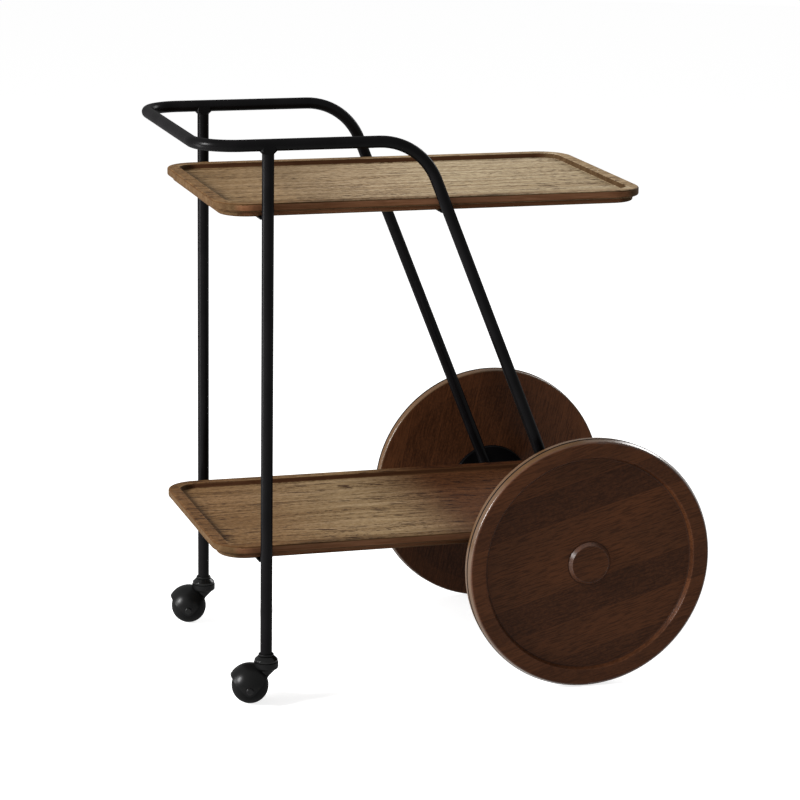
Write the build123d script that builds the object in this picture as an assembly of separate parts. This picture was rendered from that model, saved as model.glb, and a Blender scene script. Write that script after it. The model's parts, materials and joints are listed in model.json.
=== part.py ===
from build123d import *
import os
from math import acos, cos, degrees, radians, sin, sqrt, tan

# Serving cart, in millimetres. +Z is up and +X runs from the push handle towards the large wheels.
# The origin lies on the floor under the middle of the cart's outline.

# Layout of the frame, to the tubes' axes
LEG_TRACK = 374.0
WHEELBASE = 445.0
HANDLE_OVERHANG = 90.0
RAIL_HEIGHT = 759.0
SLANT_ANGLE = 22.15

# Frame tube
TUBE_DIAMETER = 16.0
TUBE_WALL = 1.5
SHOULDER_RADIUS = 85.0
HANDLE_RADIUS = 54.0
WELD_SIZE = 3.5

# Trays
UPPER_RIM_BELOW_RAIL = 78.0
LOWER_RIM_ABOVE_AXLE = 42.0
REAR_OVERHANG = 62.5
LOWER_FRONT_OVERHANG = 96.5
TRAY_SIDE_GAP = 1.0
TRAY_CORNER = 45.0
RIM_WIDTH = 18.0
RECESS_DEPTH = 7.0
LIP_HEIGHT = 11.0
BASE_HEIGHT = 7.5
BASE_INSET = 8.0
LIP_ROUNDING = 2.5
COVE_ROUNDING = 2.5
RECESS_ROUNDING = 1.5

# Tray straps, screws and inserts
STRAP_WIDTH = 18.0
STRAP_THICKNESS = 2.0
STRAP_WELD_DEPTH = 4.0
TRAY_SCREW_SPREAD = 220.0
TRAY_SCREW_DIAMETER = 4.0
TRAY_SCREW_REACH = 6.5
TRAY_SCREW_HEAD_DIAMETER = 8.0
TRAY_SCREW_HEAD_HEIGHT = 2.6
TRAY_SCREW_HEAD_ROUNDING = 1.3
INSERT_DIAMETER = 7.0
INSERT_LENGTH = 8.0

# Large wheels
WHEEL_DIAMETER = 350.0
WHEEL_THICKNESS = 21.0
WHEEL_FRONT_CROWN = 2.7
WHEEL_FRONT_ROUNDING = 3.0
WHEEL_BACK_CROWN = 0.5
WHEEL_BACK_ROUNDING = 2.0
WHEEL_RECESS_DIAMETER = 301.0
WHEEL_RECESS_DEPTH = 7.5
WHEEL_RECESS_SLOPE = 3.5
TREAD_WIDTH = 3.0
TREAD_PROUD = 0.5
TREAD_SEAT = 3.0
TREAD_FROM_BACK = 12.0

# Hub cap on the outer face
CAP_DIAMETER = 60.0
CAP_EDGE_HEIGHT = 1.2
CAP_BEVEL = 4.0
CAP_HEIGHT = 6.0
CAP_ROUNDING = 0.8
CAP_SPIGOT_WALL = 2.0
CAP_SPIGOT_LENGTH = 3.5

# Hub flange on the inner face, with its bushing and wood screws
FLANGE_DIAMETER = 118.0
FLANGE_THICKNESS = 6.0
FLANGE_ROUNDING = 1.5
HUB_DIAMETER = 52.0
HUB_LENGTH = 13.9
HUB_ROUNDING = 2.0
SLEEVE_LENGTH = 5.0
BUSHING_DIAMETER = 18.0
BUSHING_COLLAR_DIAMETER = 24.0
BUSHING_COLLAR_THICKNESS = 1.5
FLANGE_SCREW_CIRCLE = 80.0
FLANGE_SCREW_COUNT = 4
FLANGE_SCREW_DIAMETER = 4.0
FLANGE_SCREW_HEAD_DIAMETER = 8.0
FLANGE_SCREW_DEPTH = 6.0

# Axle and what is on it
AXLE_DIAMETER = 12.0
AXLE_SHOULDER = 1.0
AXLE_END_CHAMFER = 0.8
BOSS_DIAMETER = 26.0
BOSS_PROUD = 1.0
BOSS_INWARD = 13.0
THRUST_WASHER_DIAMETER = 24.0
THRUST_WASHER_THICKNESS = 1.2
END_WASHER_DIAMETER = 21.0
END_WASHER_THICKNESS = 1.5
NUT_ACROSS_FLATS = 17.0
NUT_HEIGHT = 5.0
AXLE_END_BEYOND_NUT = 1.0
AXLE_END_ROOM = 3.2
NUT_ROOM = 1.2

# Ball casters
BALL_DIAMETER = 50.0
CASTER_TRAIL = 21.5
CASTER_YAW = -14.0
BALL_CLEARANCE = 1.5
HOOD_WALL = 4.0
HOOD_FRONT_ANGLE = 142.5
HOOD_BACK_ANGLE = 40.0
EAR_DIAMETER = 16.0
NECK_DIAMETER = 33.0
NECK_ABOVE_HOOD = 2.5
NECK_BAND = 9.5
NECK_ROUNDING = 3.0
HORN_WIDTH = 27.0
HORN_DEPTH = 18.0
HORN_ANGLE = 45.0
RING_DIAMETER = 31.4
RING_BAND = 3.6
RING_TAPER = 4.6
RING_HEIGHT = 8.2
RING_ROUNDING = 1.2
SOCKET_FLANGE_DIAMETER = 20.6
SOCKET_FLANGE_HEIGHT = 3.0
SOCKET_ROUNDING = 0.8
SOCKET_LENGTH = 32.0
STEM_DIAMETER = 8.0
STEM_IN_NECK = 7.0
STEM_LENGTH = 46.0
STEM_GROOVE_WIDTH = 1.6
STEM_GROOVE_DEPTH = 0.6
STEM_GROOVE_FROM_END = 4.8
PIN_DIAMETER = 6.0
PIN_HEAD_DIAMETER = 10.0
PIN_HEAD_HEIGHT = 2.6
PIN_HEAD_ROUNDING = 2.0
PIN_SEAT_DEPTH = 1.0
BALL_HUB_DIAMETER = 11.0

# Fits: radial play in a pressed joint and in a turning one, and the end play of what turns
PRESS_PLAY = 0.02
TURN_PLAY = 0.05
END_PLAY = 0.3

# Sizes that follow from those above
tube_radius = TUBE_DIAMETER / 2
bore_radius = tube_radius - TUBE_WALL
half_track = LEG_TRACK / 2
wheel_radius = WHEEL_DIAMETER / 2
ball_radius = BALL_DIAMETER / 2
axle_radius = AXLE_DIAMETER / 2
overall_length = tube_radius + HANDLE_OVERHANG + WHEELBASE + wheel_radius
leg_x = -overall_length / 2 + tube_radius + HANDLE_OVERHANG
handle_x = leg_x - HANDLE_OVERHANG
axle_x = leg_x + WHEELBASE
slant = tan(radians(SLANT_ANGLE))
corner_x = axle_x - (RAIL_HEIGHT - wheel_radius) * slant
hood_inner = ball_radius + BALL_CLEARANCE
hood_outer = hood_inner + HOOD_WALL
neck_top = ball_radius + hood_outer + NECK_ABOVE_HOOD
socket_bottom = neck_top + RING_HEIGHT + END_PLAY
leg_bottom = socket_bottom + SOCKET_FLANGE_HEIGHT
tray_width = LEG_TRACK - TUBE_DIAMETER - 2 * TRAY_SIDE_GAP
tray_height = LIP_HEIGHT + BASE_HEIGHT
strap_below_rim = tray_height + STRAP_THICKNESS / 2
lower_front_strap = WHEELBASE - (LOWER_RIM_ABOVE_AXLE - strap_below_rim) * slant
tray_length = REAR_OVERHANG + lower_front_strap + LOWER_FRONT_OVERHANG
tray_middle = leg_x - REAR_OVERHANG + tray_length / 2
boss_face = half_track + tube_radius + BOSS_PROUD
wheel_back = boss_face + THRUST_WASHER_THICKNESS + END_PLAY + HUB_LENGTH
wheel_web = WHEEL_THICKNESS - WHEEL_RECESS_DEPTH
axle_shoulder = wheel_back + SLEEVE_LENGTH + END_PLAY
nut_seat = axle_shoulder + END_WASHER_THICKNESS
axle_end = nut_seat + NUT_HEIGHT + AXLE_END_BEYOND_NUT
axle_end_radius = axle_radius - AXLE_SHOULDER
cap_cavity = NUT_ACROSS_FLATS / sqrt(3) + NUT_ROOM
hub_bore = cap_cavity + CAP_SPIGOT_WALL
sides = {"left": 1, "right": -1}
nodes = {}


def turned(points):
    """Solid of revolution about Z, from corners given as radius, height and rounding."""
    outline = make_face(Polyline(*[(radius, height) for radius, height, rounding in points], close=True))
    for radius, height, rounding in points:
        if rounding > 0:
            corner = outline.vertices().sort_by_distance((radius, height, 0))[0]
            outline = fillet(corner, rounding)
    return revolve(Plane.XZ * outline, Axis.Z)


def ring(inner, outer, low, high, rounding=0):
    """Plain ring about Z with its outer corners rounded."""
    return turned([(inner, low, 0), (outer, low, rounding), (outer, high, rounding), (inner, high, 0)])


def rod(radius, low, high):
    """Plain rod about Z."""
    return Pos(0, 0, low) * Cylinder(radius, high - low, align=(Align.CENTER, Align.CENTER, Align.MIN))


def across(side, distance):
    """Plane square to the axle, at a distance from the cart's middle, looking outwards."""
    return Plane(origin=(axle_x, side * distance, wheel_radius), x_dir=(1, 0, 0), z_dir=(0, side, 0))


def caster_place(side):
    """Where a caster stands: on its leg's axis, turned as it trails."""
    return Pos(leg_x, side * half_track, 0) * Rot(0, 0, CASTER_YAW)


# Frame: one bent tube from axle to axle, and two straight caster legs
right_foot = (axle_x, -half_track, wheel_radius)
right_corner = (corner_x, -half_track, RAIL_HEIGHT)
right_grip = (handle_x, -half_track, RAIL_HEIGHT)
left_grip = (handle_x, half_track, RAIL_HEIGHT)
left_corner = (corner_x, half_track, RAIL_HEIGHT)
left_foot = (axle_x, half_track, wheel_radius)
frame_path = FilletPolyline(
    right_foot, right_corner, right_grip, left_grip, left_corner, left_foot,
    radius=[SHOULDER_RADIUS, HANDLE_RADIUS, HANDLE_RADIUS, SHOULDER_RADIUS],
)
frame_start = Plane(origin=frame_path @ 0, z_dir=frame_path % 0)
frame_core = sweep(frame_start * Circle(tube_radius), path=frame_path)
frame_bore = sweep(frame_start * Circle(bore_radius), path=frame_path)
boss_cores = [
    across(side, half_track) * rod(BOSS_DIAMETER / 2, -BOSS_INWARD, boss_face - half_track)
    for side in sides.values()
]
nodes["bent_tube"] = frame_core - frame_bore - boss_cores


def caster_leg(side):
    """Straight leg, saddle-cut to the rail, with its weld flared along the rail."""
    top = RAIL_HEIGHT - tube_radius
    weld = turned([
        (bore_radius, top - WELD_SIZE, 0),
        (tube_radius, top - WELD_SIZE, 0),
        (tube_radius + WELD_SIZE, top, 0),
        (tube_radius + WELD_SIZE, RAIL_HEIGHT, 0),
        (bore_radius, RAIL_HEIGHT, 0),
    ])
    weld &= Pos(0, 0, RAIL_HEIGHT) * Box(4 * TUBE_DIAMETER, TUBE_DIAMETER, 2 * TUBE_DIAMETER)
    leg = ring(bore_radius, tube_radius, leg_bottom, RAIL_HEIGHT) + weld
    return Pos(leg_x, side * half_track, 0) * leg - frame_core


for name, side in sides.items():
    nodes[f"{name}_caster_leg"] = caster_leg(side)
    boss = ring(axle_radius + PRESS_PLAY, BOSS_DIAMETER / 2, -BOSS_INWARD, boss_face - half_track)
    nodes[f"{name}_axle_boss"] = across(side, half_track) * boss


# Trays, each on two straps
def rounded_slab(length, width, corner, low, high):
    """Slab with rounded corners in plan."""
    return extrude(Pos(0, 0, low) * RectangleRounded(length, width, corner), high - low)


def tray(screw_points):
    """One-piece tray with its rim's top at height zero and its middle at the origin."""
    lip = rounded_slab(tray_length, tray_width, TRAY_CORNER, -LIP_HEIGHT, 0)
    lip = fillet(lip.faces().sort_by(Axis.Z)[-1].edges(), LIP_ROUNDING)
    lip = fillet(lip.faces().sort_by(Axis.Z)[0].edges(), LIP_ROUNDING)
    base = rounded_slab(
        tray_length - 2 * BASE_INSET, tray_width - 2 * BASE_INSET, TRAY_CORNER - BASE_INSET,
        -tray_height, -LIP_HEIGHT,
    )
    base = fillet(base.faces().sort_by(Axis.Z)[0].edges(), LIP_ROUNDING)
    recess = rounded_slab(
        tray_length - 2 * RIM_WIDTH, tray_width - 2 * RIM_WIDTH, TRAY_CORNER - RIM_WIDTH,
        -RECESS_DEPTH, 0,
    )
    recess = fillet(recess.faces().sort_by(Axis.Z)[0].edges(), RECESS_ROUNDING)
    body = lip + base
    underside = body.faces().filter_by(Axis.Z).sort_by(Axis.Z)[1]
    body = fillet(underside.inner_wires()[0].edges(), COVE_ROUNDING)
    body -= recess
    rim_top = body.faces().filter_by(Axis.Z).sort_by(Axis.Z)[-1]
    body = fillet(rim_top.inner_wires()[0].edges(), RECESS_ROUNDING)
    hole = rod(INSERT_DIAMETER / 2, -tray_height, -tray_height + INSERT_LENGTH + END_PLAY)
    return body - [Pos(x, y, 0) * hole for x, y in screw_points]


def strap(x, top):
    """Flat strap between the two sides of the frame, with its ends cut to the tubes."""
    length = LEG_TRACK - TUBE_DIAMETER + 2 * STRAP_WELD_DEPTH
    bar = Pos(x, 0, top - STRAP_THICKNESS / 2) * Box(STRAP_WIDTH, length, STRAP_THICKNESS)
    for side in sides.values():
        bar -= Pos(leg_x, side * half_track, 0) * rod(tube_radius, leg_bottom, RAIL_HEIGHT)
        hole = rod(TRAY_SCREW_DIAMETER / 2 + TURN_PLAY, top - STRAP_THICKNESS, top)
        bar -= Pos(x, side * TRAY_SCREW_SPREAD / 2, 0) * hole
    return bar - frame_core


tray_insert = ring(
    TRAY_SCREW_DIAMETER / 2 + PRESS_PLAY, INSERT_DIAMETER / 2 - PRESS_PLAY, 0, INSERT_LENGTH,
)
tray_screw = turned([
    (0, -TRAY_SCREW_HEAD_HEIGHT, 0),
    (TRAY_SCREW_HEAD_DIAMETER / 2, -TRAY_SCREW_HEAD_HEIGHT, TRAY_SCREW_HEAD_ROUNDING),
    (TRAY_SCREW_HEAD_DIAMETER / 2, 0, 0),
    (TRAY_SCREW_DIAMETER / 2, 0, 0),
    (TRAY_SCREW_DIAMETER / 2, STRAP_THICKNESS + TRAY_SCREW_REACH, 0),
    (0, STRAP_THICKNESS + TRAY_SCREW_REACH, 0),
])
rim_heights = {
    "upper": RAIL_HEIGHT - UPPER_RIM_BELOW_RAIL,
    "lower": wheel_radius + LOWER_RIM_ABOVE_AXLE,
}
for name, rim_height in rim_heights.items():
    bottom = rim_height - tray_height
    slant_x = axle_x - (rim_height - strap_below_rim - wheel_radius) * slant
    screw_points = [
        (x, side * TRAY_SCREW_SPREAD / 2) for x in (leg_x, slant_x) for side in sides.values()
    ]
    local_points = [(x - tray_middle, y) for x, y in screw_points]
    nodes[f"{name}_tray"] = Pos(tray_middle, 0, rim_height) * tray(local_points)
    nodes[f"{name}_rear_strap"] = strap(leg_x, bottom)
    nodes[f"{name}_front_strap"] = strap(slant_x, bottom)
    nodes[f"{name}_tray_inserts"] = [Pos(x, y, bottom) * tray_insert for x, y in screw_points]
    screw_seat = bottom - STRAP_THICKNESS
    nodes[f"{name}_tray_screws"] = [Pos(x, y, screw_seat) * tray_screw for x, y in screw_points]


# Large wheels, drawn with their back face at height zero and the outer face up
def wheel_disc(screw_points):
    """Turned wooden disc with a recessed face, a crowned and grooved tread, a bore and pilot holes."""
    rim = wheel_radius - TREAD_PROUD
    groove = wheel_radius - TREAD_PROUD - TREAD_SEAT
    groove_low = TREAD_FROM_BACK - TREAD_WIDTH / 2
    groove_high = TREAD_FROM_BACK + TREAD_WIDTH / 2
    mouth = WHEEL_RECESS_DIAMETER / 2
    disc = turned([
        (hub_bore, 0, 0),
        (rim - WHEEL_BACK_CROWN, 0, WHEEL_BACK_ROUNDING),
        (rim, groove_low, 0),
        (groove, groove_low, 0),
        (groove, groove_high, 0),
        (rim, groove_high, 0),
        (rim - WHEEL_FRONT_CROWN, WHEEL_THICKNESS, WHEEL_FRONT_ROUNDING),
        (mouth, WHEEL_THICKNESS, RECESS_ROUNDING),
        (mouth - WHEEL_RECESS_SLOPE, wheel_web, RECESS_ROUNDING),
        (hub_bore, wheel_web, 0),
    ])
    pilot = rod(FLANGE_SCREW_DIAMETER / 2, 0, FLANGE_SCREW_DEPTH + END_PLAY)
    return disc - [Pos(x, y, 0) * pilot for x, y in screw_points]


def tread_ring():
    """Rubber band that fills the groove and stands a little proud of the wood."""
    seat = wheel_radius - TREAD_PROUD - TREAD_SEAT + PRESS_PLAY
    half_width = TREAD_WIDTH / 2 - PRESS_PLAY
    low = TREAD_FROM_BACK - half_width
    return ring(seat, wheel_radius, low, low + 2 * half_width, TREAD_PROUD)


def hub_flange(screw_points):
    """Flange against the wheel's back, with a hub, a sleeve in the wheel's bore and countersunk holes."""
    flange = turned([
        (BUSHING_DIAMETER / 2, SLEEVE_LENGTH, 0),
        (BUSHING_DIAMETER / 2, BUSHING_COLLAR_THICKNESS - HUB_LENGTH, 0),
        (BUSHING_COLLAR_DIAMETER / 2, BUSHING_COLLAR_THICKNESS - HUB_LENGTH, 0),
        (BUSHING_COLLAR_DIAMETER / 2, -HUB_LENGTH, 0),
        (HUB_DIAMETER / 2, -HUB_LENGTH, HUB_ROUNDING),
        (HUB_DIAMETER / 2, -FLANGE_THICKNESS, HUB_ROUNDING),
        (FLANGE_DIAMETER / 2, -FLANGE_THICKNESS, FLANGE_ROUNDING),
        (FLANGE_DIAMETER / 2, 0, 0),
        (hub_bore - PRESS_PLAY, 0, 0),
        (hub_bore - PRESS_PLAY, SLEEVE_LENGTH, 0),
    ])
    return flange - [Pos(x, y, 0) * flange_screw(PRESS_PLAY) for x, y in screw_points]


def hub_bushing():
    """Collared bushing that turns on the axle."""
    return turned([
        (axle_radius + TURN_PLAY, -HUB_LENGTH, 0),
        (BUSHING_COLLAR_DIAMETER / 2 - PRESS_PLAY, -HUB_LENGTH, 0),
        (BUSHING_COLLAR_DIAMETER / 2 - PRESS_PLAY, BUSHING_COLLAR_THICKNESS - HUB_LENGTH, 0),
        (BUSHING_DIAMETER / 2 - PRESS_PLAY, BUSHING_COLLAR_THICKNESS - HUB_LENGTH, 0),
        (BUSHING_DIAMETER / 2 - PRESS_PLAY, SLEEVE_LENGTH, 0),
        (axle_radius + TURN_PLAY, SLEEVE_LENGTH, 0),
    ])


def flange_screw(play):
    """Countersunk wood screw, head flush with the flange, grown by a play for its hole."""
    head = FLANGE_SCREW_HEAD_DIAMETER / 2 + play
    shank = FLANGE_SCREW_DIAMETER / 2 + play
    cone_end = -FLANGE_THICKNESS + head - shank
    tip = FLANGE_SCREW_DEPTH
    return turned([
        (0, -FLANGE_THICKNESS, 0),
        (head, -FLANGE_THICKNESS, 0),
        (shank, cone_end, 0),
        (shank, tip, 0),
        (0, tip, 0),
    ])


def hub_cap():
    """Bevelled wooden cap over the axle's end, with its seat at height zero."""
    spigot = hub_bore - PRESS_PLAY
    cavity_top = axle_end + AXLE_END_ROOM - wheel_back - wheel_web
    outer = CAP_DIAMETER / 2
    return turned([
        (cap_cavity, -CAP_SPIGOT_LENGTH, 0),
        (spigot, -CAP_SPIGOT_LENGTH, 0),
        (spigot, 0, 0),
        (outer, 0, 0),
        (outer, CAP_EDGE_HEIGHT, CAP_ROUNDING),
        (outer - CAP_BEVEL, CAP_HEIGHT, CAP_ROUNDING),
        (0, CAP_HEIGHT, 0),
        (0, cavity_top, 0),
        (cap_cavity, cavity_top, 0),
    ])


def axle_nut():
    """Thin hexagon nut with its seat at height zero."""
    hexagon = RegularPolygon(NUT_ACROSS_FLATS / 2, 6, major_radius=False)
    return extrude(hexagon, NUT_HEIGHT) - rod(axle_end_radius + PRESS_PLAY, 0, NUT_HEIGHT)


screw_turns = [radians(360 * (step + 0.5) / FLANGE_SCREW_COUNT) for step in range(FLANGE_SCREW_COUNT)]
screw_circle = FLANGE_SCREW_CIRCLE / 2
flange_screw_points = [(screw_circle * cos(turn), screw_circle * sin(turn)) for turn in screw_turns]
for name, side in sides.items():
    back = across(side, wheel_back)
    nodes[f"{name}_wheel_disc"] = back * wheel_disc(flange_screw_points)
    nodes[f"{name}_tread_ring"] = back * tread_ring()
    nodes[f"{name}_hub_flange"] = back * hub_flange(flange_screw_points)
    nodes[f"{name}_hub_bushing"] = back * hub_bushing()
    nodes[f"{name}_flange_screws"] = [
        back * Pos(x, y, 0) * flange_screw(-PRESS_PLAY) for x, y in flange_screw_points
    ]
    face = across(side, wheel_back + wheel_web)
    nodes[f"{name}_hub_cap"] = face * hub_cap()

# Axle, with a washer at each boss and a washer and nut at each end
axle_rod = turned([
    (0, -axle_end, 0),
    (axle_end_radius - AXLE_END_CHAMFER, -axle_end, 0),
    (axle_end_radius, AXLE_END_CHAMFER - axle_end, 0),
    (axle_end_radius, -axle_shoulder, 0),
    (axle_radius, -axle_shoulder, 0),
    (axle_radius, axle_shoulder, 0),
    (axle_end_radius, axle_shoulder, 0),
    (axle_end_radius, axle_end - AXLE_END_CHAMFER, 0),
    (axle_end_radius - AXLE_END_CHAMFER, axle_end, 0),
    (0, axle_end, 0),
])
nodes["wheel_axle"] = across(1, 0) * axle_rod
thrust_washer = ring(
    axle_radius + PRESS_PLAY, THRUST_WASHER_DIAMETER / 2, 0, THRUST_WASHER_THICKNESS,
)
end_washer = ring(
    axle_end_radius + PRESS_PLAY, END_WASHER_DIAMETER / 2, 0, END_WASHER_THICKNESS,
)
nodes["thrust_washers"] = [across(side, boss_face) * thrust_washer for side in sides.values()]
nodes["end_washers"] = [across(side, axle_shoulder) * end_washer for side in sides.values()]
nodes["axle_nuts"] = [across(side, nut_seat) * axle_nut() for side in sides.values()]

# Ball casters, drawn with the stem on the Z axis, the floor at height zero and the ball trailing to -X
ball_centre = Pos(-CASTER_TRAIL, 0, ball_radius)
pin_seat = hood_outer - PIN_SEAT_DEPTH


def hood_side():
    """Side view of the hood: a wedge from ear to crown, tangent to the ear on both sides."""
    reach = 2 * hood_outer
    ear = EAR_DIAMETER / 2
    spread = degrees(acos(ear / reach))
    turns = [
        (HOOD_FRONT_ANGLE, reach),
        (HOOD_FRONT_ANGLE + spread, ear),
        (HOOD_BACK_ANGLE - spread, ear),
        (HOOD_BACK_ANGLE, reach),
    ]
    corners = [(size * cos(radians(turn)), size * sin(radians(turn))) for turn, size in turns]
    crown = [(corners[3][0], reach), (corners[0][0], reach)]
    return make_face(Polyline(*corners, *crown, close=True)) + Circle(ear)


def caster_hood():
    """Hood with its horn and neck, hollowed for the ball and bored for the stem and the pin."""
    wedge = extrude(Plane.XZ * hood_side(), 2 * hood_outer, both=True)
    shell = ball_centre * (Sphere(hood_outer) & wedge)
    neck_low = neck_top - NECK_BAND
    neck = turned([
        (0, neck_low, 0),
        (NECK_DIAMETER / 2, neck_low, NECK_ROUNDING),
        (NECK_DIAMETER / 2, neck_top, 0),
        (0, neck_top, 0),
    ])
    horn_start = sqrt(hood_inner ** 2 - (HORN_WIDTH / 2) ** 2) - HOOD_WALL
    horn_foot = ball_centre * Rot(0, HORN_ANGLE, 0) * Pos(0, 0, horn_start) * Rot(0, 0, 90)
    horn_head = Pos(0, 0, neck_low) * Rot(0, 0, 90)
    horn = loft([
        horn_foot * Ellipse(HORN_WIDTH / 2, HORN_DEPTH / 2),
        horn_head * Circle(NECK_DIAMETER / 2 - NECK_ROUNDING),
    ])
    hood = shell + neck + horn
    hood -= ball_centre * Sphere(hood_inner)
    hood -= rod(STEM_DIAMETER / 2 + PRESS_PLAY, neck_top - STEM_IN_NECK, neck_top)
    across_pin = ball_centre * Rot(90, 0, 0)
    hood -= across_pin * rod(PIN_DIAMETER / 2 + PRESS_PLAY, -hood_outer, hood_outer)
    seat = PIN_HEAD_DIAMETER / 2 + PRESS_PLAY
    for turn in (90, -90):
        hood -= ball_centre * Rot(turn, 0, 0) * rod(seat, pin_seat, hood_outer)
    return hood


def caster_pin():
    """Cross pin with a domed head at each end."""
    head = PIN_HEAD_DIAMETER / 2
    shank = PIN_DIAMETER / 2
    top = pin_seat + PIN_HEAD_HEIGHT
    pin = turned([
        (0, -top, 0),
        (head, -top, PIN_HEAD_ROUNDING),
        (head, -pin_seat, 0),
        (shank, -pin_seat, 0),
        (shank, pin_seat, 0),
        (head, pin_seat, 0),
        (head, top, PIN_HEAD_ROUNDING),
        (0, top, 0),
    ])
    return ball_centre * Rot(90, 0, 0) * pin


def caster_ball():
    """Ball with a short hub at each side and a bore for the pin."""
    hub = BALL_HUB_DIAMETER / 2
    hub_end = sqrt(hood_inner ** 2 - hub ** 2) - END_PLAY
    bored = Sphere(ball_radius) + rod(hub, -hub_end, hub_end)
    bored -= rod(PIN_DIAMETER / 2 + TURN_PLAY, -hub_end, hub_end)
    return ball_centre * Rot(90, 0, 0) * bored


def caster_stem():
    """Stem that is fixed in the neck and turns in the leg's socket."""
    low = neck_top - STEM_IN_NECK
    top = low + STEM_LENGTH
    groove = top - STEM_GROOVE_FROM_END
    radius = STEM_DIAMETER / 2
    stem = rod(radius, low, top)
    stem = chamfer(stem.edges().sort_by(Axis.Z)[-1], STEM_GROOVE_DEPTH)
    return stem - ring(radius - STEM_GROOVE_DEPTH, 2 * radius, groove, groove + STEM_GROOVE_WIDTH)


def caster_ring():
    """Bell-shaped thrust ring between the neck and the socket."""
    bore = STEM_DIAMETER / 2 + PRESS_PLAY
    outer = RING_DIAMETER / 2
    top = neck_top + RING_HEIGHT
    return turned([
        (bore, neck_top, 0),
        (outer, neck_top, RING_ROUNDING),
        (outer, neck_top + RING_BAND, RING_ROUNDING),
        (outer - RING_TAPER, top, RING_ROUNDING),
        (bore, top, 0),
    ])


def caster_socket():
    """Sleeve in the leg's end, with a flange that covers the cut tube."""
    bore = STEM_DIAMETER / 2 + TURN_PLAY
    return turned([
        (bore, socket_bottom, 0),
        (SOCKET_FLANGE_DIAMETER / 2, socket_bottom, SOCKET_ROUNDING),
        (SOCKET_FLANGE_DIAMETER / 2, leg_bottom, SOCKET_ROUNDING),
        (bore_radius - PRESS_PLAY, leg_bottom, 0),
        (bore_radius - PRESS_PLAY, leg_bottom + SOCKET_LENGTH, 0),
        (bore, leg_bottom + SOCKET_LENGTH, 0),
    ])


for name, side in sides.items():
    place = caster_place(side)
    nodes[f"{name}_caster_socket"] = place * caster_socket()
    nodes[f"{name}_caster_ring"] = place * caster_ring()
    nodes[f"{name}_caster_stem"] = place * caster_stem()
    nodes[f"{name}_caster_hood"] = place * caster_hood()
    nodes[f"{name}_caster_pin"] = place * caster_pin()
    nodes[f"{name}_caster_ball"] = place * caster_ball()

os.makedirs("parts", exist_ok=True)
for name, shape in nodes.items():
    pieces = shape if isinstance(shape, list) else [shape]
    solids = [solid for piece in pieces for solid in piece.solids()]
    export_step(Compound(children=solids), f"parts/{name}.step")
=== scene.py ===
"""Looks of the serving cart: wood, powder coat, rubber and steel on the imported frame.

The cart stands in a plain white studio and is seen from where the photograph was taken.
"""

import json
from math import cos, radians, sin

import bpy
from mathutils import Matrix, Vector


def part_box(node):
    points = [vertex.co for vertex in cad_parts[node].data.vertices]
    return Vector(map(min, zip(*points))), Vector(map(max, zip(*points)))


# Camera of the photograph, in metres, degrees and pixels
CAMERA_PLACE = (-1.229407, -4.012803, 1.358473)
CAMERA_AZIMUTH = -16.751
CAMERA_ELEVATION = 13.357
CAMERA_ROLL = 0.818
FOCAL_PIXELS = 3070.7
PICTURE_PIXELS = 800
SENSOR_WIDTH = 36.0

# Studio, in metres and watts. Each lamp has a place, a width and height, and a power.
WHITE = (1.0, 1.0, 1.0, 1.0)
AMBIENT = 0.3625
FLOOR_RADIUS = 9.0
FLOOR_CORNERS = 96
FLOOR_COLOUR = (0.5, 0.5, 0.5, 1.0)
FLOOR_ROUGHNESS = 0.9
FLOOR_LIFT = 0.8
LAMP_AIM = (0.0, 0.0, 0.4)
LAMPS = {
    "key_light": ((-2.7, -0.45, 1.5), (0.54, 0.96), 171.0),
    "rim_light": ((2.4, 1.8, 1.7), (1.2, 1.2), 58.0),
    "low_light": ((-1.45, 0.1, 0.32), (0.3, 0.55), 10.0),
}

# Tray wood: stained, with open pores. The wall, end, rim, third and side colours multiply the colour. The thirds
# carry painted sheen and shade, the wall colour is painted shade in the recess, and the lower tray's darker side
# is painted shade.
TRAY_LIGHT = (0.4138, 0.2966, 0.1655, 1.0)
TRAY_MIDDLE = (0.3448, 0.2414, 0.1241, 1.0)
TRAY_DARK = (0.1724, 0.1, 0.0414, 1.0)
# Colour of the pores, also used for the painted shade along the roundings
TRAY_PORE_AND_SHADE = (0.0414, 0.0179, 0.0062, 1.0)
# Painted shade: the colour of the recess walls inside the rim
TRAY_WALL_SHADE = (0.2, 0.12, 0.1, 1.0)
TRAY_END = (0.2, 0.165, 0.14, 1.0)
TRAY_RIM = (0.74, 0.66, 0.58, 1.0)
TRAY_SPECULAR = 0.055
TRAY_ROUGHNESS = (0.88, 0.74)
TRAY_RELIEF = 0.0004
RELIEF_SHARE = 0.4
RING_SHARE = 0.36
SPOT_SHARE = 0.5
PORES_OFF_RINGS = 0.35
CRACK_SPREAD = 0.1

# Places on a tray, in metres
TRAY_RIM_WIDTH = 0.018
TRAY_RIM_BLEND = 0.002
TRAY_SIDE_WIDTH = 0.008
TRAY_SIDE_BLEND = 0.003
# Where the painted sheen and shade of the thirds change, along the tray's length
SHEEN_AND_SHADE_PLACES = (-0.27, -0.05)
TURN_WIDTH = 0.15

# Noise of the tray wood: features per metre along and across the grain, then detail and roughness
TRAY_GRAIN = {
    "sway": (1.8, 8.0),
    "streaks": (2.4, 80.0, 5.0, 0.55),
    "fibres": (14.0, 520.0, 3.0),
    "mottle": (170.0, 200.0, 2.0, 0.6),
    "rows": (5.0, 60.0),
    "rings": (7.0, 130.0, 3.0, 0.6),
    "pores": (95.0, 300.0, 2.0, 0.6),
    "cracks": (28.0, 190.0, 3.0),
}

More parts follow.
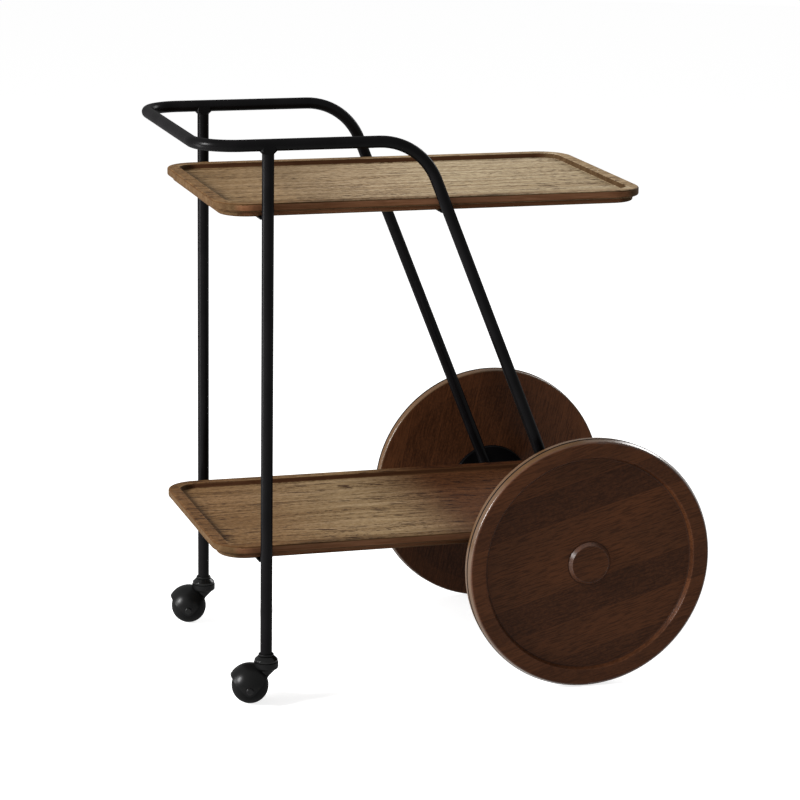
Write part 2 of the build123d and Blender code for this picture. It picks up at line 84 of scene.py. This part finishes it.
# From where to where each value of the tray wood counts, and with what result where that isn't 0 to 1
TRAY_RANGES = {
    "flat": (0.45, 0.8),
    "rings": (0.48, 0.6),
    "pores": (0.5, 0.58),
    "cracks": (0.57, 0.62),
    "dark_streaks": (0.3, 0.55, 0.5, 1.0),
    "light_streaks": (0.45, 0.7),
    "fibres": (0.35, 0.6, 0.4, 0.0),
    "spots": (0.36, 0.58),
    "long_side": (0.82, 1.0),
    "rounding_start": (0.2, 0.5),
    "rounding_end": (0.75, 0.98, 0.7, 0.0),
    "gloss": (0.3, 0.7),
}

# What differs between the trays. The colours of the thirds, from the handle to the wheels, are painted light: on
# the upper tray a sheen that grows towards the wheels, on the lower tray shade under the upper tray, deepest and
# reddest by the wheels.
TRAY_LOOKS = {
    "upper_tray": {
        "sway_width": 0.05,
        "crack_low": 0.55,
        "crack_turn": 0.0,
        "spotting": 0.85,
        "sheen_and_shade_tones": ((0.76, 0.72, 0.7, 1.0), (1.25, 1.34, 1.58, 1.0), (1.46, 1.67, 2.05, 1.0)),
        "turn_start": -0.08,
        "side": (0.56, 0.36, 0.33, 1.0),
    },
    "lower_tray": {
        "sway_width": 0.1,
        "crack_low": 0.44,
        "crack_turn": 12.0,
        "spotting": 0.75,
        "sheen_and_shade_tones": ((0.46, 0.38, 0.325, 1.0), (0.72, 0.72, 0.74, 1.0), (0.215, 0.117, 0.08, 1.0)),
        "turn_start": -0.07,
        # Darker than the upper tray's side: painted shade under the upper tray
        "side": (0.4, 0.26, 0.24, 1.0),
    },
}

# Wheel wood: dark walnut glued from strips
WALNUT_DARK = (0.0414, 0.0155, 0.0072, 1.0)
WALNUT_MIDDLE = (0.0717, 0.0269, 0.0114, 1.0)
WALNUT_RED = (0.1, 0.0352, 0.0138, 1.0)
# Colour of the grain lines, also used for the painted shade lines in the creases
WALNUT_LINE_AND_SHADE = (0.0207, 0.0076, 0.0034, 1.0)
# Painted light: a paler, tanner colour for the tread, standing in for key light and sheen on it
WALNUT_LIT_EDGE = (0.0862, 0.0497, 0.0248, 1.0)
WALNUT_SPECULAR = 0.02
WALNUT_COAT_ROUGHNESS = 0.23
WALNUT_ROUGHNESS = (0.5, 0.32)
WALNUT_RELIEF = 0.0001
WALNUT_SWAY_WIDTH = 0.012
PLAIN_TONE = 0.5
STREAK_SHARE = 0.45
TONE_SHARE = 0.75
STRIP_SHIFT = 3.0
SEAM_SHARE = 0.6
# Strength of the painted shade lines in the creases
SHADE_LINE_SHARE = 0.8
RIM_SHARE = 0.2
# Strength of the painted light on the tread
TREAD_SHARE = 0.8
TURNED_GLOSS = 0.65
RECESS_GLOSS = 0.16
FACE_GLOSS = 0.07
GRAIN_TURNS = {"left": 78.0, "right": 16.0}

# Places on a wheel: radii and widths in metres, the seam as a part of a strip
STRIP_WIDTH = 0.047
SEAM_PART = 0.02
WHEEL_RIM = (0.1495, 0.1515)
# Painted shade lines: radii of the recess floor's edge and the cap's foot, and how wide each line is
SHADE_LINE_RADII = (0.147, 0.0305)
SHADE_LINE_WIDTH = 0.0012
FRONT_START = 0.004
FRONT_END = 0.008
TREAD = (0.171, 0.173)

# Noise and ranges of the wheel wood, in the same order as for the trays
WALNUT_GRAIN = {
    "sway": (5.0, 30.0),
    "streaks": (3.0, 90.0, 4.0, 0.55),
    "flames": (7.0, 16.0),
    "lines": (45.0, 600.0, 3.0),
    "mottle": (260.0, 420.0, 3.0, 0.6),
}
WALNUT_RANGES = {
    "body": (0.2, 0.95),
    "flames": (0.42, 0.68),
    "flames_by_tone": (0.2, 0.8, 0.1, 0.8),
    "mottle": (0.38, 0.62, 0.0, 0.4),
    "lines": (0.38, 0.54, 0.6, 0.0),
    "turned_start": (0.1, 0.4),
    "turned_end": (0.92, 0.99, 1.0, 0.0),
    "gloss": (0.3, 0.7),
}

# Blacks: name, colour, coat, coat roughness, features of grit per metre and depth of grit in metres
COAT_BLACK = (0.0023, 0.0021, 0.0023, 1.0)
CASTER_BLACK = (0.0028, 0.0028, 0.0028, 1.0)
RUBBER_BLACK = (0.0041, 0.0041, 0.0041, 1.0)
BLACKS = {
    "frame_black": ("powder_coat", COAT_BLACK, 0.1, 0.27, 1400.0, 0.00002),
    "hub_black": ("hub_black", COAT_BLACK, 0.07, 0.15, 1400.0, 0.00002),
    "caster_black": ("caster_black", CASTER_BLACK, 0.18, 0.29, 500.0, 0.00001),
    "ball_black": ("ball_black", RUBBER_BLACK, 0.08, 0.3, 900.0, 0.00002),
    "socket_nylon": ("socket_nylon", RUBBER_BLACK, 0.15, 0.28, 900.0, 0.00001),
    "tread_rubber": ("tread_rubber", RUBBER_BLACK, 0.06, 0.5, 900.0, 0.00003),
}
POLISHED_BLACK = ("polished_black", CASTER_BLACK, 0.27, 0.15, 500.0, 0.000005)
BLACK_PALER = 1.7
BLACK_PATCHES = 25.0
BLACK_COLOUR_RANGE = (0.3, 0.7)
BLACK_ROUGHNESS_RANGE = (0.25, 0.75, 0.36, 0.5)
GRIT_DETAIL = 3.0

# Metals: colour and roughness
METALS = {
    "steel": ((0.6, 0.6, 0.61, 1.0), 0.32),
    "insert_brass": ((0.72, 0.52, 0.24, 1.0), 0.35),
}
METAL_SPECULAR = 0.5
METAL_DULLER = 0.75
METAL_MARKS = 900.0
METAL_RANGE = (0.3, 0.7)
SMOOTHER = 0.06
ROUGHER = 0.08


def add(tree, kind, inputs=None, **settings):
    """Adds a shader node, sets its settings, and sets or links its inputs by name or number."""
    made = tree.nodes.new("ShaderNode" + kind)
    for name, value in settings.items():
        setattr(made, name, value)
    for name, value in (inputs or {}).items():
        connect(tree, made, name, value)
    return made


def connect(tree, node, name, value):
    """Links a socket to a node's input, or sets the input to a plain value."""
    if isinstance(value, bpy.types.NodeSocket):
        tree.links.new(value, node.inputs[name])
    else:
        node.inputs[name].default_value = value


def maths(tree, operation, first, second=0.0, third=0.0):
    """One arithmetic step on numbers."""
    return add(tree, "Math", {0: first, 1: second, 2: third}, operation=operation).outputs[0]


def times(tree, first, second):
    """Multiplies two numbers."""
    return maths(tree, "MULTIPLY", first, second)


def mix(tree, factor, first, second, blend="MIX"):
    """Mixes two colours."""
    inputs = {0: factor, 6: first, 7: second}
    return add(tree, "Mix", inputs, data_type="RGBA", blend_type=blend).outputs[2]


def tinted(tree, first, second):
    """Multiplies two colours."""
    return mix(tree, 1.0, first, second, "MULTIPLY")


def between(tree, value, low, high, start=0.0, end=1.0):
    """Goes smoothly from start to end as a value goes from low to high."""
    inputs = {0: value, 1: low, 2: high, 3: start, 4: end}
    return add(tree, "MapRange", inputs, interpolation_type="SMOOTHSTEP").outputs[0]


def axes(tree, vector):
    """The X, Y and Z of a vector."""
    return add(tree, "SeparateXYZ", {0: vector}).outputs


def grain(tree, place, along, across, detail=2.0, roughness=0.5):
    """Noise with its own number of features per metre along X, and across it."""
    scaled = add(tree, "Mapping", {"Vector": place, "Scale": (along, across, across)}).outputs[0]
    inputs = {"Vector": scaled, "Scale": 1.0, "Detail": detail, "Roughness": roughness}
    return add(tree, "TexNoise", inputs).outputs[0]


def rotated(tree, place, x_turn, y_turn, z_turn):
    """Turns a place by degrees about each axis."""
    turn = (radians(x_turn), radians(y_turn), radians(z_turn))
    return add(tree, "Mapping", {"Vector": place, "Rotation": turn}).outputs[0]


def moved_aside(tree, place, amount, axis):
    """Moves a place along one axis."""
    offset = add(tree, "CombineXYZ", {axis: amount}).outputs[0]
    return add(tree, "VectorMath", {0: place, 1: offset}, operation="ADD").outputs[0]


def swayed(tree, place, scale, width, axis):
    """Moves a place to and fro along one axis, as the grain of wood wanders."""
    sway = maths(tree, "SUBTRACT", grain(tree, place, *scale), 0.5)
    return moved_aside(tree, place, times(tree, sway, width), axis)


def bump(tree, height, distance):
    """Normal of a surface that is raised by a distance in metres where the height is 1."""
    return add(tree, "Bump", {"Height": height, "Distance": distance, "Strength": 1.0}).outputs[0]


def shade(colour, factor):
    """A plain colour, made paler or darker by a factor."""
    return tuple(factor * part for part in colour[:3]) + (1.0,)


def new_material(name, specular, coat=0.0, coat_roughness=0.3):
    """Material with a principled shader of a set specular level and a thin clear coat."""
    material = bpy.data.materials.new(name)
    material.use_nodes = True
    tree = material.node_tree
    shader = tree.nodes["Principled BSDF"]
    shader.inputs["Specular IOR Level"].default_value = specular
    shader.inputs["Coat Weight"].default_value = coat
    shader.inputs["Coat Roughness"].default_value = coat_roughness
    return material, tree, shader


def tray_tint(tree, node, here, facing, flat):
    """Colour that tints a tray by place: thirds of its length, which carry painted sheen and shade, rim, walls,
    sides and ends; the recess walls carry painted shade.
    """
    look = TRAY_LOOKS[node]
    spot = axes(tree, here)
    first, second, third = look["sheen_and_shade_tones"]
    turn_start = look["turn_start"]
    # The thirds' colours are painted light: sheen that grows towards the wheels on the upper tray, shade of the
    # upper tray and the wheels on the lower one
    tone = mix(tree, between(tree, spot["X"], *SHEEN_AND_SHADE_PLACES), first, second)
    tone = mix(tree, between(tree, spot["X"], turn_start, turn_start + TURN_WIDTH), tone, third)
    low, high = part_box(node)
    from_middle = maths(tree, "ABSOLUTE", maths(tree, "SUBTRACT", spot["X"], (low[0] + high[0]) / 2))
    from_end = maths(tree, "SUBTRACT", (high[0] - low[0]) / 2, from_middle)
    from_side = maths(tree, "SUBTRACT", high[1], maths(tree, "ABSOLUTE", spot["Y"]))
    inward = maths(tree, "MINIMUM", from_end, from_side)
    rim = between(tree, inward, TRAY_RIM_WIDTH - TRAY_RIM_BLEND, TRAY_RIM_WIDTH, 1.0, 0.0)
    tone = mix(tree, rim, tone, tinted(tree, tone, TRAY_RIM))
    outside = between(tree, from_side, TRAY_SIDE_WIDTH, TRAY_SIDE_WIDTH + TRAY_SIDE_BLEND, 1.0, 0.0)
    long_side = between(tree, maths(tree, "ABSOLUTE", facing["Y"]), *TRAY_RANGES["long_side"])
    # Walls inside the rim get the wall colour, painted shade in the recess; the outer sides get the tray's side
    # colour
    edge = mix(tree, long_side, TRAY_END, mix(tree, outside, TRAY_WALL_SHADE, look["side"]))
    return mix(tree, flat, edge, tone)


def tray_wood(node):
    """Stained wood with its grain along X, growth rings, open pores and cracks, tinted edges, and painted shade
    along the roundings and on the recess walls.
    """
    material, tree, shader = new_material(f"{node}_wood", TRAY_SPECULAR)
    look = TRAY_LOOKS[node]
    ranges = TRAY_RANGES
    source = add(tree, "TexCoord")
    here = source.outputs["Object"]
    facing = axes(tree, source.outputs["Normal"])
    level = maths(tree, "ABSOLUTE", facing["Z"])
    flat = between(tree, level, *ranges["flat"])
    place = swayed(tree, here, TRAY_GRAIN["sway"], look["sway_width"], "Y")
    streaks = grain(tree, place, *TRAY_GRAIN["streaks"])
    fibres = grain(tree, place, *TRAY_GRAIN["fibres"])
    mottle = grain(tree, place, *TRAY_GRAIN["mottle"])
    rows = grain(tree, place, *TRAY_GRAIN["rows"])
    rings = between(tree, grain(tree, place, *TRAY_GRAIN["rings"]), *ranges["rings"])

    pores = between(tree, grain(tree, place, *TRAY_GRAIN["pores"]), *ranges["pores"])
    pores = times(tree, pores, between(tree, rings, 0.0, 1.0, PORES_OFF_RINGS, 1.0))
    pores = times(tree, pores, look["spotting"])
    turned = rotated(tree, place, 0.0, 0.0, look["crack_turn"])
    cracks = between(tree, grain(tree, turned, *TRAY_GRAIN["cracks"]), *ranges["cracks"])
    crack_low = look["crack_low"]
    cracks = times(tree, cracks, between(tree, rows, crack_low, crack_low + CRACK_SPREAD))
    open_grain = times(tree, maths(tree, "MAXIMUM", pores, cracks), flat)

    colour = mix(tree, between(tree, streaks, *ranges["dark_streaks"]), TRAY_DARK, TRAY_MIDDLE)
    colour = mix(tree, between(tree, streaks, *ranges["light_streaks"]), colour, TRAY_LIGHT)
    colour = mix(tree, between(tree, fibres, *ranges["fibres"]), colour, TRAY_DARK)
    colour = mix(tree, times(tree, rings, RING_SHARE), colour, TRAY_DARK)
    spots = times(tree, between(tree, mottle, *ranges["spots"], look["spotting"], 0.0), flat)
    colour = mix(tree, times(tree, spots, SPOT_SHARE), colour, TRAY_DARK)
    colour = mix(tree, open_grain, colour, TRAY_PORE_AND_SHADE)
    colour = tinted(tree, colour, tray_tint(tree, node, here, facing, flat))
    # Painted shade: the roundings between flat faces and sides are darkened with the pore colour
    rounding_start = between(tree, level, *ranges["rounding_start"])
    rounding_shade = times(tree, rounding_start, between(tree, level, *ranges["rounding_end"]))
    colour = mix(tree, rounding_shade, colour, TRAY_PORE_AND_SHADE)
    connect(tree, shader, "Base Color", colour)
    connect(tree, shader, "Roughness", between(tree, mottle, *ranges["gloss"], *TRAY_ROUGHNESS))
    height = times(tree, maths(tree, "ADD", mottle, fibres), RELIEF_SHARE)
    height = maths(tree, "SUBTRACT", height, open_grain)
    connect(tree, shader, "Normal", bump(tree, height, TRAY_RELIEF))
    return material


def walnut(name, turn, centre, strips):
    """Dark walnut with its grain turned in the XZ plane, in glued strips or in one piece, with painted shade lines
    in its creases and a tread made paler by painted light.
    """
    material, tree, shader = new_material(name, WALNUT_SPECULAR, 0.0, WALNUT_COAT_ROUGHNESS)
    ranges = WALNUT_RANGES
    source = add(tree, "TexCoord")
    here = source.outputs["Object"]
    place = rotated(tree, here, 0.0, turn, 0.0)
    tone = PLAIN_TONE
    seam = 0.0
    if strips:
        count = maths(tree, "DIVIDE", axes(tree, place)["Z"], STRIP_WIDTH)
        strip = maths(tree, "FLOOR", count)
        seam = between(tree, maths(tree, "PINGPONG", count, 0.5), 0.0, SEAM_PART, SEAM_SHARE, 0.0)
        tone = add(tree, "TexWhiteNoise", {"W": strip}, noise_dimensions="1D").outputs["Value"]
        place = moved_aside(tree, place, times(tree, tone, STRIP_SHIFT), "X")
    place = swayed(tree, place, WALNUT_GRAIN["sway"], WALNUT_SWAY_WIDTH, "Z")
    streaks = grain(tree, place, *WALNUT_GRAIN["streaks"])
    flames = grain(tree, place, *WALNUT_GRAIN["flames"])
    lines = grain(tree, place, *WALNUT_GRAIN["lines"])
    mottle = grain(tree, place, *WALNUT_GRAIN["mottle"])

    body = maths(tree, "MULTIPLY_ADD", streaks, STREAK_SHARE, times(tree, tone, TONE_SHARE))
    colour = mix(tree, between(tree, body, *ranges["body"]), WALNUT_DARK, WALNUT_MIDDLE)
    red = between(tree, flames, *ranges["flames"])
    red = times(tree, red, between(tree, tone, *ranges["flames_by_tone"]))
    colour = mix(tree, red, colour, WALNUT_RED)
    colour = mix(tree, between(tree, mottle, *ranges["mottle"]), colour, WALNUT_RED)
    colour = mix(tree, between(tree, lines, *ranges["lines"]), colour, WALNUT_LINE_AND_SHADE)
    colour = mix(tree, seam, colour, WALNUT_RED)

    face = add(tree, "VectorMath", {0: here, 1: (1.0, 0.0, 1.0)}, operation="MULTIPLY").outputs[0]
    inputs = {0: face, 1: (centre[0], 0.0, centre[2])}
    radius = add(tree, "VectorMath", inputs, operation="DISTANCE").outputs["Value"]
    depth = maths(tree, "ABSOLUTE", axes(tree, here)["Y"])
    front = between(tree, depth, abs(centre[1]) + FRONT_START, abs(centre[1]) + FRONT_END)
    # Painted shade: dark lines on the front face at the recess floor's edge and round the cap's foot
    for shade_line_radius in SHADE_LINE_RADII:
        shade_line = maths(tree, "ABSOLUTE", maths(tree, "SUBTRACT", radius, shade_line_radius))
        shade_line = times(tree, between(tree, shade_line, 0.0, SHADE_LINE_WIDTH, SHADE_LINE_SHARE, 0.0), front)
        colour = mix(tree, shade_line, colour, WALNUT_LINE_AND_SHADE)
    colour = mix(tree, between(tree, radius, *WHEEL_RIM, 0.0, RIM_SHARE), colour, WALNUT_RED)
    # Painted light: the tread is made paler and tanner, as if lit by the key
    colour = mix(tree, between(tree, radius, *TREAD, 0.0, TREAD_SHARE), colour, WALNUT_LIT_EDGE)
    connect(tree, shader, "Base Color", colour)

    facing = maths(tree, "ABSOLUTE", axes(tree, source.outputs["Normal"])["Y"])
    turned = between(tree, facing, *ranges["turned_start"])
    turned = times(tree, turned, between(tree, facing, *ranges["turned_end"]))
    gloss = TURNED_GLOSS
    if strips:
        gloss = between(tree, radius, WHEEL_RIM[1], TREAD[0], RECESS_GLOSS, TURNED_GLOSS)
    connect(tree, shader, "Coat Weight", between(tree, turned, 0.0, 1.0, FACE_GLOSS, gloss))
    connect(tree, shader, "Roughness", between(tree, lines, *ranges["gloss"], *WALNUT_ROUGHNESS))
    connect(tree, shader, "Normal", bump(tree, lines, WALNUT_RELIEF))
    return material


def black(name, colour, coat, coat_roughness, grit, grit_depth):
    """Black finish under a thin coat, with a fine grit, and patches of another tone and roughness."""
    material, tree, shader = new_material(name, 0.0, coat, coat_roughness)
    place = add(tree, "TexCoord").outputs["Object"]
    fine = grain(tree, place, grit, grit, GRIT_DETAIL)
    broad = grain(tree, place, BLACK_PATCHES, BLACK_PATCHES, GRIT_DETAIL)
    paler = shade(colour, BLACK_PALER)
    connect(tree, shader, "Base Color", mix(tree, between(tree, broad, *BLACK_COLOUR_RANGE), colour, paler))
    connect(tree, shader, "Roughness", between(tree, broad, *BLACK_ROUGHNESS_RANGE))
    connect(tree, shader, "Normal", bump(tree, fine, grit_depth))
    return material


def metal(name, colour, roughness):
    """Plated metal with faint marks."""
    material, tree, shader = new_material(name, METAL_SPECULAR)
    shader.inputs["Metallic"].default_value = 1.0
    place = add(tree, "TexCoord").outputs["Object"]
    marks = grain(tree, place, METAL_MARKS, METAL_MARKS, GRIT_DETAIL)
    duller = shade(colour, METAL_DULLER)
    connect(tree, shader, "Base Color", mix(tree, between(tree, marks, *METAL_RANGE), duller, colour))
    rough = between(tree, marks, *METAL_RANGE, roughness - SMOOTHER, roughness + ROUGHER)
    connect(tree, shader, "Roughness", rough)
    return material


def light(name, place, size, power):
    """Soft box of a width and a height that looks at the cart."""
    lamp = bpy.data.lights.new(name, "AREA")
    lamp.shape = "RECTANGLE"
    lamp.size, lamp.size_y = size
    lamp.energy = power
    holder = bpy.data.objects.new(name, lamp)
    holder.location = place
    holder.rotation_euler = (Vector(LAMP_AIM) - Vector(place)).to_track_quat("-Z", "Y").to_euler()
    bpy.context.scene.collection.objects.link(holder)


def seen_directly(tree):
    """Is 1 for rays that show the background: to the camera, in a reflection or through glass."""
    rays = add(tree, "LightPath").outputs
    seen = maths(tree, "MAXIMUM", rays["Is Camera Ray"], rays["Is Glossy Ray"])
    return maths(tree, "MAXIMUM", seen, rays["Is Transmission Ray"])


def studio():
    """White surroundings, a pale floor that keeps the shadow, and soft boxes."""
    world = bpy.data.worlds.new("studio")
    world.use_nodes = True
    bpy.context.scene.world = world
    tree = world.node_tree
    surround = tree.nodes["Background"]
    surround.inputs["Color"].default_value = WHITE
    connect(tree, surround, "Strength", between(tree, seen_directly(tree), 0.0, 1.0, AMBIENT, 1.0))

    bpy.ops.mesh.primitive_circle_add(vertices=FLOOR_CORNERS, radius=FLOOR_RADIUS, fill_type="NGON")
    floor = bpy.context.object
    floor.name = "floor"
    material, tree, shader = new_material("floor", 0.0)
    shader.inputs["Base Color"].default_value = FLOOR_COLOUR
    shader.inputs["Roughness"].default_value = FLOOR_ROUGHNESS
    shader.inputs["Emission Color"].default_value = WHITE
    connect(tree, shader, "Emission Strength", times(tree, seen_directly(tree), FLOOR_LIFT))
    floor.data.materials.append(material)

    for name, (place, size, power) in LAMPS.items():
        light(name, place, size, power)
    bpy.context.scene.view_settings.view_transform = "Standard"


def camera():
    """Camera where the photograph was taken from."""
    azimuth = radians(CAMERA_AZIMUTH)
    elevation = radians(CAMERA_ELEVATION)
    roll = radians(CAMERA_ROLL)
    ahead = Vector((-sin(azimuth) * cos(elevation), cos(azimuth) * cos(elevation), -sin(elevation)))
    level = Vector((cos(azimuth), sin(azimuth), 0.0))
    over = level.cross(ahead)
    right = cos(roll) * level + sin(roll) * over
    up = cos(roll) * over - sin(roll) * level
    data = bpy.data.cameras.new("camera")
    data.sensor_width = SENSOR_WIDTH
    data.lens = FOCAL_PIXELS * SENSOR_WIDTH / PICTURE_PIXELS
    holder = bpy.data.objects.new("camera", data)
    turn = Matrix((right, up, -ahead)).transposed().to_4x4()
    holder.matrix_world = Matrix.Translation(CAMERA_PLACE) @ turn
    bpy.context.scene.collection.objects.link(holder)
    bpy.context.scene.camera = holder


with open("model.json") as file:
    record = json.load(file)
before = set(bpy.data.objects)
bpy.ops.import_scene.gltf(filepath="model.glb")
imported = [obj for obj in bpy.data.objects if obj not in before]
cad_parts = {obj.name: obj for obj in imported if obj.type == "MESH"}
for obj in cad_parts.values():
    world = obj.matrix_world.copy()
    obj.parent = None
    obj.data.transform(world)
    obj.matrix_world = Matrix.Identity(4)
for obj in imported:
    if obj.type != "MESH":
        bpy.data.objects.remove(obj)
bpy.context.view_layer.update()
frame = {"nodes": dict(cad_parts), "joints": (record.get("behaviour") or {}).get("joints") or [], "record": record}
joint_places = {joint["name"]: joint["pos_m"] for joint in frame["joints"]}
slots = {piece["node"]: piece["material_slot"] for piece in frame["record"]["subparts"]}

# A finish for each slot, and finishes of their own for some nodes
finishes = {slot: black(*look) for slot, look in BLACKS.items()}
for slot, (colour, roughness) in METALS.items():
    finishes[slot] = metal(slot, colour, roughness)
polished = black(*POLISHED_BLACK)
special = {node: tray_wood(node) for node in TRAY_LOOKS}
for side, turn in GRAIN_TURNS.items():
    centre = joint_places[f"{side}_wheel_spin"]
    special[f"{side}_wheel_disc"] = walnut(f"{side}_wheel_wood", turn, centre, True)
    special[f"{side}_hub_cap"] = walnut(f"{side}_cap_wood", turn, centre, False)
    special[f"{side}_caster_pin"] = polished
    special[f"{side}_caster_ring"] = polished

for node, piece in frame["nodes"].items():
    piece.data.materials.clear()
    piece.data.materials.append(special.get(node) or finishes[slots[node]])

studio()
camera()
